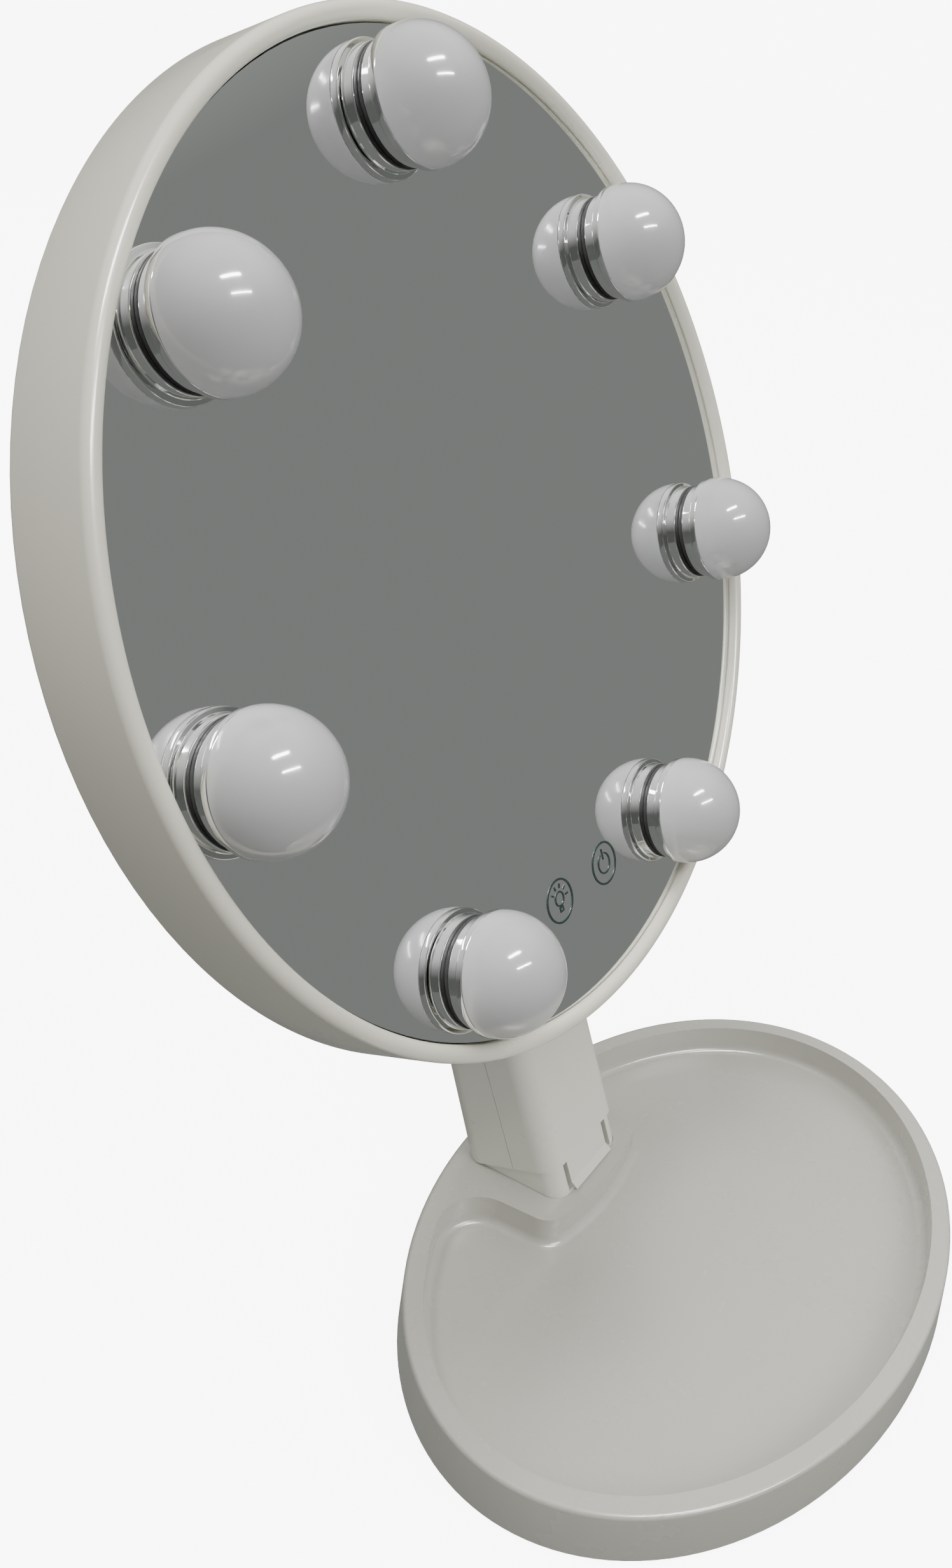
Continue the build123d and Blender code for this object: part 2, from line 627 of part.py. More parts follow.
def in_head(x, y, height, turned=0.0):
    """A place in the head; turned by 180 its z runs towards the back."""
    return Location(head_plane) * Location((x, y, height), (turned, 0, 0))


yoke_half_width = ear_outer + YOKE_MARGIN
yoke_screw_x = ear_outer + 4.1
yoke_screws_at = [(x, y) for x in (-yoke_screw_x, yoke_screw_x) for y in (-15.0, 15.0)]
with BuildPart() as hinge_yoke:
    with BuildSketch(head_plane.offset(cover_front)):
        RectangleRounded(2 * yoke_half_width, 2 * YOKE_HALF_HIGH, 6)
    extrude(amount=YOKE_PLATE_THICK)
    with Locations(
        in_head(-(ear_inner + ear_outer) / 2, 0, cover_front),
        in_head((ear_inner + ear_outer) / 2, 0, cover_front),
    ):
        Box(
            EAR_THICK,
            2 * EAR_RADIUS,
            cover_front - hinge_down,
            align=(Align.CENTER, Align.CENTER, Align.MAX),
        )
    with Locations(
        in_head(-(ear_inner + ear_outer) / 2, 0, hinge_down) * Location((0, 0, 0), (0, 90, 0)),
        in_head((ear_inner + ear_outer) / 2, 0, hinge_down) * Location((0, 0, 0), (0, 90, 0)),
    ):
        Cylinder(EAR_RADIUS, EAR_THICK)
        Cylinder(PIN_RADIUS + PIN_CLEARANCE, EAR_THICK, mode=Mode.SUBTRACT)
    with Locations(*[in_head(x, y, yoke_front) for x, y in yoke_screws_at]):
        Cylinder(SCREW_HOLE_RADIUS, 3 * YOKE_PLATE_THICK, mode=Mode.SUBTRACT)
finish(hinge_yoke, "hinge_yoke")

with BuildPart() as yoke_screws:
    with Locations(*[in_head(x, y, -DRUM_DEPTH, 180) for x, y in yoke_screws_at]):
        add(countersunk_screw(COVER_THICK + YOKE_PLATE_THICK - 0.2))
finish(yoke_screws, "yoke_screws")

pin_end = ear_outer + 0.1
with BuildPart() as hinge_pin:
    with Locations(Location(hinge_plane) * Location((0, 0, -pin_end))):
        Cylinder(
            PIN_RADIUS,
            2 * pin_end + HINGE_NUT_THICK + 1,
            align=(Align.CENTER, Align.CENTER, Align.MIN),
        )
        Cylinder(PIN_HEAD_RADIUS, PIN_HEAD_THICK, align=(Align.CENTER, Align.CENTER, Align.MAX))
    fillet(hinge_pin.edges().group_by(Axis.X)[0], 0.8)
    with BuildSketch(Plane(hinge_plane.origin, x_dir=hinge_plane.x_dir, z_dir=(-1, 0, 0)).offset(
        pin_end + PIN_HEAD_THICK)):
        RegularPolygon(1.7, 6)
    extrude(amount=-1.4, mode=Mode.SUBTRACT)
finish(hinge_pin, "hinge_pin")

with BuildPart() as hinge_nut:
    with BuildSketch(hinge_plane.offset(pin_end)):
        RegularPolygon(4.6, 6)
        Circle(PIN_RADIUS + PIN_CLEARANCE, mode=Mode.SUBTRACT)
    extrude(amount=HINGE_NUT_THICK)
finish(hinge_nut, "hinge_nut")

with BuildPart() as hinge_sleeve:
    with BuildSketch(hinge_plane):
        Circle(PIN_RADIUS + SLEEVE_WALL)
        Circle(PIN_RADIUS + PIN_CLEARANCE, mode=Mode.SUBTRACT)
    extrude(amount=POST_WIDTH / 2, both=True)
finish(hinge_sleeve, "hinge_sleeve")

with BuildPart() as friction_washers:
    washer_mid = POST_WIDTH / 2 + WASHER_GAP + WASHER_THICK / 2
    with Locations(
        Location(hinge_plane) * Location((0, 0, washer_mid)),
        Location(hinge_plane) * Location((0, 0, -washer_mid)),
    ):
        Cylinder(WASHER_RADIUS, WASHER_THICK)
        Cylinder(PIN_RADIUS + 2 * PIN_CLEARANCE, WASHER_THICK, mode=Mode.SUBTRACT)
finish(friction_washers, "friction_washers")

# ================= head =================
pillar_ring = BEZEL_RADIUS - DRUM_WALL - PILLAR_RADIUS - 0.8
pillar_bottom = ledge_bottom - PILLAR_REACH
cover_rim = cover_front - FIT * 2
drum_inner = BEZEL_RADIUS - DRUM_WALL
lip_round = (BEZEL_RADIUS - BEZEL_BORE) / 2

with BuildPart() as front_bezel:
    with BuildSketch(section_plane):
        with BuildLine():
            Line((BEZEL_RADIUS, cover_rim), (BEZEL_RADIUS, BEZEL_LIP - lip_round))
            ThreePointArc(
                (BEZEL_RADIUS, BEZEL_LIP - lip_round),
                (BEZEL_BORE + lip_round, BEZEL_LIP),
                (BEZEL_BORE, BEZEL_LIP - lip_round),
            )
            Polyline(
                (BEZEL_BORE, BEZEL_LIP - lip_round),
                (BEZEL_BORE, carrier_bottom),
                (LEDGE_BORE, carrier_bottom),
                (LEDGE_BORE, ledge_bottom),
                (drum_inner, ledge_bottom),
                (drum_inner, cover_rim),
                (BEZEL_RADIUS, cover_rim),
            )
        make_face()
    revolve(axis=head_axis)
    with Locations(*[in_head(x, y, ledge_bottom) for x, y in mid_places(pillar_ring)]):
        Cylinder(PILLAR_RADIUS, PILLAR_REACH, align=(Align.CENTER, Align.CENTER, Align.MAX))
    with Locations(*[in_head(x, y, pillar_bottom) for x, y in mid_places(pillar_ring)]):
        Cylinder(
            SCREW_HOLE_RADIUS,
            PILLAR_REACH,
            align=(Align.CENTER, Align.CENTER, Align.MIN),
            mode=Mode.SUBTRACT,
        )
    carrier_screw_ring = (LEDGE_BORE + BEZEL_BORE) / 2
    with Locations(*[in_head(x, y, carrier_bottom) for x, y in bulb_places(carrier_screw_ring)]):
        Cylinder(SCREW_HOLE_RADIUS, 3 * LEDGE_THICK, mode=Mode.SUBTRACT)
finish(front_bezel, "front_bezel")

with BuildPart() as rear_cover:
    with BuildSketch(section_plane):
        with BuildLine():
            edge = BEZEL_RADIUS - COVER_INSET
            skirt = drum_inner - FIT
            Line((0, -DRUM_DEPTH), (edge - COVER_EDGE, -DRUM_DEPTH))
            ThreePointArc(
                (edge - COVER_EDGE, -DRUM_DEPTH),
                (edge - COVER_EDGE * 0.293, -DRUM_DEPTH + COVER_EDGE * 0.293),
                (edge, -DRUM_DEPTH + COVER_EDGE),
            )
            Polyline(
                (edge, -DRUM_DEPTH + COVER_EDGE),
                (edge, cover_rim - 0.05),
                (skirt, cover_rim - 0.05),
                (skirt, cover_front + SKIRT_REACH),
                (skirt - SKIRT_WALL, cover_front + SKIRT_REACH),
                (skirt - SKIRT_WALL, cover_front),
                (0, cover_front),
                (0, -DRUM_DEPTH),
            )
        make_face()
    revolve(axis=head_axis)
    with Locations(*[in_head(x, y, cover_front) for x, y in mid_places(pillar_ring)]):
        Cylinder(
            PILLAR_RADIUS + 0.4,
            pillar_bottom - cover_front - 0.1,
            align=(Align.CENTER, Align.CENTER, Align.MIN),
        )
    with Locations(*[in_head(x, y, -DRUM_DEPTH, 180) for x, y in mid_places(pillar_ring)]):
        CounterBoreHole(SCREW_HOLE_RADIUS, HEAD_HOLE_RADIUS, PAN_SEAT_RECESS, depth=8)
    with Locations(*[in_head(x, y, -DRUM_DEPTH, 180) for x, y in yoke_screws_at]):
        CounterSinkHole(SCREW_HOLE_RADIUS, SCREW_HEAD_RADIUS + 0.05, depth=4)
    # slots for the yoke's ears
    with BuildSketch(head_plane.offset(cover_front + 1)):
        ear_mid = (ear_inner + ear_outer) / 2
        with Locations((-ear_mid, 0), (ear_mid, 0)):
            Rectangle(EAR_THICK + 2 * FIT, 2 * EAR_RADIUS + 2 * FIT)
    extrude(amount=-COVER_THICK - 2, mode=Mode.SUBTRACT)
finish(rear_cover, "rear_cover")

with BuildPart() as housing_screws:
    with Locations(
        *[in_head(x, y, PAN_SEAT_RECESS - DRUM_DEPTH, 180) for x, y in mid_places(pillar_ring)]
    ):
        add(pan_screw(9.5))
finish(housing_screws, "housing_screws")

with BuildPart() as mirror_glass:
    with BuildSketch(head_plane.offset(tape_top)):
        Circle(MIRROR_RADIUS)
        with Locations(*bulb_places()):
            Circle(STEM_RADIUS + STEM_CLEARANCE, mode=Mode.SUBTRACT)
    extrude(amount=MIRROR_THICK)
finish(mirror_glass, "mirror_glass")

with BuildPart() as glass_tape:
    with BuildSketch(head_plane.offset(carrier_top)):
        Circle(TAPE_RADIUS)
        Circle(TAPE_BORE, mode=Mode.SUBTRACT)
    extrude(amount=TAPE_THICK)
finish(glass_tape, "glass_tape")

carrier_screw_reach = LEDGE_THICK + CARRIER_THICK - 0.4
with BuildPart() as carrier_plate:
    with BuildSketch(head_plane.offset(carrier_bottom)):
        Circle(BEZEL_BORE - FIT)
        with Locations(*bulb_places()):
            Circle(STEM_RADIUS + STEM_CLEARANCE, mode=Mode.SUBTRACT)
        with Locations(*bulb_places(carrier_screw_ring)):
            Circle(SCREW_HOLE_RADIUS, mode=Mode.SUBTRACT)
    extrude(amount=CARRIER_THICK)
finish(carrier_plate, "carrier_plate")

with BuildPart() as carrier_screws:
    with Locations(
        *[in_head(x, y, ledge_bottom, 180) for x, y in bulb_places(carrier_screw_ring)]
    ):
        add(pan_screw(carrier_screw_reach))
finish(carrier_screws, "carrier_screws")

# ---- touch keys, printed on the glass ----
with BuildPart() as key_lamp:
    with BuildSketch(head_plane):
        with Locations((-KEY_APART / 2, -KEY_DOWN)):
            Circle(KEY_RADIUS)
            Circle(KEY_RADIUS - KEY_LINE - 0.1, mode=Mode.SUBTRACT)
        with Locations((-KEY_APART / 2, -KEY_DOWN + 0.6)):
            Circle(LAMP_SIGN_RADIUS)
            Circle(LAMP_SIGN_RADIUS - KEY_LINE, mode=Mode.SUBTRACT)
            with PolarLocations(3.4, 5, start_angle=0, angular_range=180):
                Rectangle(1.2, KEY_LINE)
        with Locations((-KEY_APART / 2, -KEY_DOWN - 2.3)):
            Rectangle(1.7, 1.5)
            Rectangle(0.9, 0.7, mode=Mode.SUBTRACT)
    extrude(amount=KEY_THICK)
finish(key_lamp, "key_lamp")

with BuildPart() as key_power:
    with BuildSketch(head_plane):
        with Locations((KEY_APART / 2, -KEY_DOWN)):
            Circle(KEY_RADIUS)
            Circle(KEY_RADIUS - KEY_LINE - 0.1, mode=Mode.SUBTRACT)
            Circle(KEY_SIGN_RADIUS)
            Circle(KEY_SIGN_RADIUS - KEY_LINE, mode=Mode.SUBTRACT)
        with Locations((KEY_APART / 2, -KEY_DOWN + 2.6)):
            Rectangle(2.0, 2.4, mode=Mode.SUBTRACT)
            Rectangle(KEY_LINE, 3.0)
    extrude(amount=KEY_THICK)
finish(key_power, "key_power")

# ---- electronics behind the carrier ----
board_top = carrier_bottom - 0.1
with BuildPart() as touch_board:
    with BuildSketch(head_plane.offset(board_top)):
        with Locations((0, -KEY_DOWN)):
            RectangleRounded(TOUCH_BOARD_WIDE, TOUCH_BOARD_HIGH, 2)
    extrude(amount=-BOARD_THICK)
    with Locations(in_head(0, -KEY_DOWN, board_top - BOARD_THICK)):
        with Locations((-10, 2), (8, -2)):
            Box(6, 5, 1.2, align=(Align.CENTER, Align.CENTER, Align.MAX))
finish(touch_board, "touch_board")

with BuildPart() as control_board:
    with BuildSketch(head_plane.offset(board_top)):
        with Locations((0, -CONTROL_BOARD_DOWN)):
            RectangleRounded(CONTROL_BOARD_WIDE, CONTROL_BOARD_HIGH, 2)
    extrude(amount=-BOARD_THICK)
    with Locations(in_head(0, -CONTROL_BOARD_DOWN, board_top - BOARD_THICK)):
        with Locations((-12, 4), (10, -5)):
            Box(9, 9, 1.6, align=(Align.CENTER, Align.CENTER, Align.MAX))
        with Locations((14, 9), (-15, -9)):
            Cylinder(2.5, 5.0, align=(Align.CENTER, Align.CENTER, Align.MAX))
finish(control_board, "control_board")

wire_deep = -STEM_REACH - 1.6
wire_level = carrier_bottom - WIRE_RADIUS - 0.05
collar_floor_top = GASKET_THICK + 0.1 + COLLAR_WALL
with BuildPart() as wire_leg:
    with BuildLine(Plane.XZ) as route:
        FilletPolyline(
            (WIRE_RING, wire_level),
            (WIRE_RING + 7, wire_deep),
            (BULB_RING, wire_deep),
            (BULB_RING, collar_floor_top - 0.1),
            radius=2.0,
        )
    with BuildSketch(Plane(route.line @ 0, z_dir=route.line % 0)):
        Circle(WIRE_RADIUS)
    sweep()

with BuildPart() as led_wiring:
    with BuildSketch(section_plane):
        with Locations((WIRE_RING, wire_level)):
            Circle(WIRE_RADIUS)
    revolve(axis=head_axis)
    with Locations(*[Location(head_plane) * Location((0, 0, 0), (0, 0, a)) for a in bulb_angles()]):
        add(wire_leg.part)
finish(led_wiring, "led_wiring")

# ---- bulbs ----
with BuildPart() as bulb_nuts:
    with BuildSketch(head_plane.offset(carrier_bottom)):
        with Locations(*bulb_places()):
            RegularPolygon(BULB_NUT_RADIUS, 6)
            Circle(STEM_RADIUS + 0.05, mode=Mode.SUBTRACT)
    extrude(amount=-BULB_NUT_THICK)
finish(bulb_nuts, "bulb_nuts")

with BuildPart() as bulb_gaskets:
    with BuildSketch(head_plane):
        with Locations(*bulb_places()):
            Circle(COLLAR_LOW_RADIUS - 0.2)
            Circle(STEM_RADIUS + STEM_CLEARANCE, mode=Mode.SUBTRACT)
    extrude(amount=GASKET_THICK)
finish(bulb_gaskets, "bulb_gaskets")

collar_low_bore = COLLAR_LOW_RADIUS - COLLAR_WALL
collar_high_bore = GLOBE_RADIUS - COLLAR_WALL
collar_floor = collar_floor_top - COLLAR_WALL
with BuildPart() as collar_form:
    with BuildSketch(Plane.XZ):
        with BuildLine():
            Polyline(
                (STEM_BORE, -STEM_REACH),
                (STEM_RADIUS, -STEM_REACH),
                (STEM_RADIUS, GASKET_THICK),
                (COLLAR_LOW_RADIUS - 0.5, GASKET_THICK),
                (COLLAR_LOW_RADIUS, GASKET_THICK + 0.4),
                (COLLAR_LOW_RADIUS, COLLAR_STEP_UP - 0.1),
                (GLOBE_RADIUS - 0.2, COLLAR_STEP_UP + 0.2),
                (GLOBE_RADIUS, COLLAR_STEP_UP + 0.5),
                (GLOBE_RADIUS, COLLAR_TOP - 0.3),
                (GLOBE_RADIUS - 0.3, COLLAR_TOP),
                (collar_high_bore, COLLAR_TOP),
                (collar_high_bore, COLLAR_SEAT_UP),
                (collar_low_bore, COLLAR_SEAT_UP),
                (collar_low_bore, collar_floor_top),
                (1.6, collar_floor_top),
                (1.6, collar_floor),
                (STEM_BORE, collar_floor),
                close=True,
            )
        make_face()
    revolve(axis=Axis.Z)

globe_bottom = COLLAR_TOP + 0.1
globe_foot = COLLAR_SEAT_UP + FIT
skirt_outer = collar_high_bore - FIT
skirt_inner = skirt_outer - GLOBE_WALL
inside_radius = GLOBE_RADIUS - GLOBE_WALL
inside_start = GLOBE_CENTRE_UP + 0.7
outer_start = (GLOBE_RADIUS**2 - (GLOBE_CENTRE_UP - globe_bottom) ** 2) ** 0.5
inner_start = (inside_radius**2 - (GLOBE_CENTRE_UP - inside_start) ** 2) ** 0.5
diagonal = cos(radians(45))
with BuildPart() as globe_form:
    with BuildSketch(Plane.XZ):
        with BuildLine():
            ThreePointArc(
                (outer_start, globe_bottom),
                (GLOBE_RADIUS * diagonal, GLOBE_CENTRE_UP + GLOBE_RADIUS * diagonal),
                (0, GLOBE_CENTRE_UP + GLOBE_RADIUS),
            )
            Line((0, GLOBE_CENTRE_UP + GLOBE_RADIUS), (0, GLOBE_CENTRE_UP + inside_radius))
            ThreePointArc(
                (0, GLOBE_CENTRE_UP + inside_radius),
                (inside_radius * diagonal, GLOBE_CENTRE_UP + inside_radius * diagonal),
                (inner_start, inside_start),
            )
            Polyline(
                (inner_start, inside_start),
                (skirt_inner, inside_start),
                (skirt_inner, globe_foot),
                (skirt_outer, globe_foot),
                (skirt_outer, globe_bottom),
                (outer_start, globe_bottom),
            )
        make_face()
    revolve(axis=Axis.Z)

with BuildPart() as board_form:
    with Locations((0, 0, collar_floor_top)):
        Cylinder(collar_low_bore - 0.8, 1.2, align=(Align.CENTER, Align.CENTER, Align.MIN))
    with PolarLocations(5.0, 3):
        with Locations((0, 0, collar_floor_top + 1.2)):
            Box(2.8, 2.8, 0.8, align=(Align.CENTER, Align.CENTER, Align.MIN))

for number, (x, y) in enumerate(bulb_places(), 1):
    seat = in_head(x, y, 0)
    with BuildPart() as bulb_collar:
        with Locations(seat):
            add(collar_form.part)
    finish(bulb_collar, f"bulb_collar_{number}")
    with BuildPart() as led_board:
        with Locations(seat):
            add(board_form.part)
    finish(led_board, f"led_board_{number}")
    with BuildPart() as bulb_globe:
        with Locations(seat):
            add(globe_form.part)
    finish(bulb_globe, f"bulb_globe_{number}")
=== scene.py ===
import json
import math

import bmesh
import bpy
from mathutils import Matrix, Vector


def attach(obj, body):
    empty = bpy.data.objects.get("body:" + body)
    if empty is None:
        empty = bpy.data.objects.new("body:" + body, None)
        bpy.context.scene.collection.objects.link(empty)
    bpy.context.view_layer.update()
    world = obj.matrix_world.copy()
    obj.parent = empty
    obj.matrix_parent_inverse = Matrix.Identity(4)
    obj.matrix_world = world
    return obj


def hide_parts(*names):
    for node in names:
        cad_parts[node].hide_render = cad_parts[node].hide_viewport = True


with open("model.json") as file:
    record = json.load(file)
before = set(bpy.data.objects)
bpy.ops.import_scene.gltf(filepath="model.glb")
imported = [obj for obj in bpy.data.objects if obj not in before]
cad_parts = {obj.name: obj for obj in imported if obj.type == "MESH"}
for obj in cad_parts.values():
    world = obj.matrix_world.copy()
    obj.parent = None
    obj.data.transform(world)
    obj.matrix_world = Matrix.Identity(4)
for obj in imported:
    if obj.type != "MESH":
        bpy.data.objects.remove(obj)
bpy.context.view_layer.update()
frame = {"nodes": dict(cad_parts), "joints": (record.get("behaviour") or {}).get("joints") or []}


# ---------------------------------------------------------------------------------------------
# Tray. One injection moulding in gloss cream ABS: an oval dish with a rolled rim, and at the
# back a land that carries the post. A steel ballast plate, a painted closing plate and the
# rubber feet fill its underside, which countersunk screws hold from below.
def keep_flats(soup):
    """Sharp edges round every large flat face, so that its rounded border doesn't shade it."""
    large = 6e-4  # square metres
    areas = {}
    planes = {}
    for face in soup.faces:
        offset = face.normal.dot(face.verts[0].co)
        plane = tuple(round(part, 3) for part in face.normal) + (round(offset, 4),)
        planes[face] = plane
        areas[plane] = areas.get(plane, 0) + face.calc_area()
    for edge in soup.edges:
        sides = {planes[face] for face in edge.link_faces}
        if len(sides) > 1 and max(areas[side] for side in sides) > large:
            edge.smooth = False


def from_cad(node, body, finish):
    """The node's own surface with its triangles joined, so that curved walls shade smoothly."""
    crease, weld, sliver = math.radians(32), 2e-6, 1e-6
    mesh = frame["nodes"][node].data.copy()
    piece = bpy.data.objects.new(node + "_moulded", mesh)
    bpy.context.scene.collection.objects.link(piece)
    soup = bmesh.new()
    soup.from_mesh(mesh)
    bmesh.ops.remove_doubles(soup, verts=soup.verts, dist=weld)
    bmesh.ops.dissolve_degenerate(soup, edges=soup.edges, dist=sliver)
    bmesh.ops.recalc_face_normals(soup, faces=soup.faces)
    for face in soup.faces:
        face.smooth = True
    for edge in soup.edges:
        edge.smooth = edge.calc_face_angle(math.pi) < crease
    keep_flats(soup)
    soup.to_mesh(mesh)
    soup.free()
    mesh.materials.clear()
    mesh.materials.append(finish)
    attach(piece, body)
    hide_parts(node)
    return piece


def new_finish(name):
    """A material, its node tree, its shader and the coordinates that its textures follow."""
    finish = bpy.data.materials.new(name)
    finish.use_nodes = True
    tree = finish.node_tree
    shader = tree.nodes["Principled BSDF"]
    place = tree.nodes.new("ShaderNodeTexCoord").outputs["Object"]
    return finish, tree, shader, place


def noise(tree, place, scale, detail=2.0, rough=0.5):
    node = tree.nodes.new("ShaderNodeTexNoise")
    node.inputs["Scale"].default_value = scale
    node.inputs["Detail"].default_value = detail
    node.inputs["Roughness"].default_value = rough
    tree.links.new(place, node.inputs["Vector"])
    return node.outputs["Fac"]


def remap(tree, value, low, high, to_low, to_high):
    node = tree.nodes.new("ShaderNodeMapRange")
    node.inputs["From Min"].default_value = low
    node.inputs["From Max"].default_value = high
    node.inputs["To Min"].default_value = to_low
    node.inputs["To Max"].default_value = to_high
    tree.links.new(value, node.inputs["Value"])
    return node.outputs["Result"]


def blend_colours(tree, amount, first, second):
    node = tree.nodes.new("ShaderNodeMix")
    node.data_type = "RGBA"
    for socket, colour in ((node.inputs[6], first), (node.inputs[7], second)):
        if isinstance(colour, tuple):
            socket.default_value = (*colour, 1)
        else:
            tree.links.new(colour, socket)
    tree.links.new(amount, node.inputs[0])
    return node.outputs[2]


def specks(tree, place, scale, size, share):
    """Sparse dots: 1 in a dot, 0 elsewhere; share is the part of the cells that hold one."""
    cells = tree.nodes.new("ShaderNodeTexVoronoi")
    cells.inputs["Scale"].default_value = scale
    tree.links.new(place, cells.inputs["Vector"])
    core = size * 0.6
    dot = remap(tree, cells.outputs["Distance"], core, size, 1.0, 0.0)
    split = tree.nodes.new("ShaderNodeSeparateColor")
    tree.links.new(cells.outputs["Color"], split.inputs["Color"])
    picked = tree.nodes.new("ShaderNodeMath")
    picked.operation = "GREATER_THAN"
    picked.inputs[1].default_value = 1.0 - share
    tree.links.new(split.outputs["Red"], picked.inputs[0])
    both = tree.nodes.new("ShaderNodeMath")
    both.operation = "MULTIPLY"
    tree.links.new(dot, both.inputs[0])
    tree.links.new(picked.outputs[0], both.inputs[1])
    return both.outputs[0]


def bump(tree, shader, height, distance, strength):
    node = tree.nodes.new("ShaderNodeBump")
    node.inputs["Distance"].default_value = distance
    node.inputs["Strength"].default_value = strength
    tree.links.new(height, node.inputs["Height"])
    tree.links.new(node.outputs["Normal"], shader.inputs["Normal"])


def moulded_plastic(name, light, dull, low_rough, high_rough, share=0.02):
    """Gloss moulding: a cloudy tone, sparse flecks of dirt, handled patches and a fine grain."""
    dirt, fleck_size, grain_depth = (0.16, 0.13, 0.10), 0.045, 0.00003
    finish, tree, shader, place = new_finish(name)
    cloud = remap(tree, noise(tree, place, 14, 3), 0.35, 0.68, 0.0, 1.0)
    colour = blend_colours(tree, cloud, light, dull)
    flecks = specks(tree, place, 62, fleck_size, share)
    colour = blend_colours(tree, flecks, colour, dirt)
    tree.links.new(colour, shader.inputs["Base Color"])
    handled = noise(tree, place, 46, 4, 0.6)
    rough = remap(tree, handled, 0.35, 0.7, low_rough, high_rough)
    tree.links.new(rough, shader.inputs["Roughness"])
    bump(tree, shader, noise(tree, place, 900, 2), grain_depth, 0.35)
    shader.inputs["Specular IOR Level"].default_value = 0.5
    shader.inputs["Coat Weight"].default_value = 0.25
    shader.inputs["Coat Roughness"].default_value = 0.12
    shader.inputs["Subsurface Weight"].default_value = 0.05
    shader.inputs["Subsurface Radius"].default_value = (0.004, 0.003, 0.002)
    return finish


# painted shade: the tray's cream is painted darker than the post's, though both are the same ABS; the
# darker tone stands in for the shade that the head casts over the tray
tray_plastic_painted_shade = moulded_plastic(
    "tray plastic with painted shade", (0.50, 0.495, 0.445), (0.49, 0.483, 0.432), 0.20, 0.32, share=0.05
)
tray = from_cad("base_tray", "base", tray_plastic_painted_shade)

plate_paint, tree, shader, place = new_finish("plate powder coat")
tree.links.new(
    blend_colours(tree, noise(tree, place, 90, 3), (0.030, 0.030, 0.032), (0.022, 0.022, 0.024)),
    shader.inputs["Base Color"],
)
powder = remap(tree, noise(tree, place, 500, 2), 0.3, 0.7, 0.45, 0.6)
tree.links.new(powder, shader.inputs["Roughness"])
bump(tree, shader, noise(tree, place, 1800, 2), 0.00004, 0.6)
from_cad("base_plate", "base", plate_paint)


def plated_steel(name, colour, low_rough, high_rough, grain):
    finish, tree, shader, place = new_finish(name)
    shader.inputs["Metallic"].default_value = 1.0
    cloud = noise(tree, place, grain, 3)
    tarnish = 0.78
    tarnished = tuple(part * tarnish for part in colour)
    tree.links.new(blend_colours(tree, cloud, colour, tarnished), shader.inputs["Base Color"])
    rough = remap(tree, noise(tree, place, grain * 6, 3), 0.3, 0.7, low_rough, high_rough)
    tree.links.new(rough, shader.inputs["Roughness"])
    bump(tree, shader, noise(tree, place, grain * 20, 2), 0.00001, 0.3)
    return finish


zinc = plated_steel("zinc plated steel", (0.62, 0.62, 0.63), 0.24, 0.42, 120)
for node in ("ballast_plate", "base_screws", "foot_screws"):
    from_cad(node, "base", zinc)

foot_rubber, tree, shader, place = new_finish("foot rubber")
tree.links.new(
    blend_colours(tree, noise(tree, place, 300, 3), (0.018, 0.018, 0.018), (0.035, 0.034, 0.032)),
    shader.inputs["Base Color"],
)
tree.links.new(remap(tree, noise(tree, place, 700, 2), 0.3, 0.7, 0.55, 0.8), shader.inputs["Roughness"])
bump(tree, shader, noise(tree, place, 1500, 2), 0.00003, 0.5)
from_cad("rubber_feet", "base", foot_rubber)

# ---------------------------------------------------------------------------------------------
# Post. Two half shells in the same cream ABS, screwed together from behind over the leaning
# foot plug, whose snap tongue shows between two slots at the front. The back holds the battery
# bay, its door on two moulded pivots, and the power inlet.
post_plastic = moulded_plastic("post plastic", (0.73, 0.725, 0.655), (0.715, 0.71, 0.635), 0.26, 0.38)
for node in ("foot_plug", "post_front_shell", "post_rear_shell"):
    from_cad(node, "base", post_plastic)
from_cad("battery_door", "door", post_plastic)
from_cad("post_screws", "base", zinc)
from_cad("battery_contacts", "base", zinc)
from_cad("power_inlet", "base", zinc)

cell_sleeve, tree, shader, place = new_finish("cell sleeve")
tree.links.new(
    blend_colours(tree, noise(tree, place, 80, 2), (0.03, 0.045, 0.07), (0.045, 0.06, 0.09)),
    shader.inputs["Base Color"],
)
tree.links.new(remap(tree, noise(tree, place, 400, 2), 0.3, 0.7, 0.2, 0.35), shader.inputs["Roughness"])
from_cad("battery_cells", "base", cell_sleeve)

# ---------------------------------------------------------------------------------------------
# Tilt hinge behind the head. A pressed steel yoke, screwed inside the rear cover, straddles the
# top of the post on a pin that turns in a steel sleeve; acetal washers give the friction that
# holds the head where it is left.
for node in ("hinge_yoke", "yoke_screws", "hinge_pin", "hinge_nut"):
    from_cad(node, "head", zinc)
from_cad("hinge_sleeve", "base", zinc)
acetal = moulded_plastic("acetal", (0.78, 0.77, 0.72), (0.74, 0.73, 0.68), 0.35, 0.45, share=0.0)
from_cad("friction_washers", "base", acetal)

# ---------------------------------------------------------------------------------------------
# Head housing. The front bezel is a deep moulded ring whose lip is fully rounded and stands
# just proud of the glass; the rear cover plugs into it with a fine parting line and is held by
# seven screws in recesses. Both are cream ABS, a little yellower than the tray.
lean = math.radians(20.5)
out_of_mirror = Vector((0, -math.cos(lean), math.sin(lean)))
up_mirror = Vector((0, math.sin(lean), math.cos(lean)))
hinge = Vector(next(j for j in frame["joints"] if j["name"] == "head_tilt")["pos_m"])
hinge_depth = 0.0309  # from the hinge pin out to the face of the glass
mirror_centre = hinge + out_of_mirror * hinge_depth
head_place = Matrix.Translation(mirror_centre) @ Matrix(
    (Vector((1, 0, 0)), up_mirror, out_of_mirror)
).transposed().to_4x4()


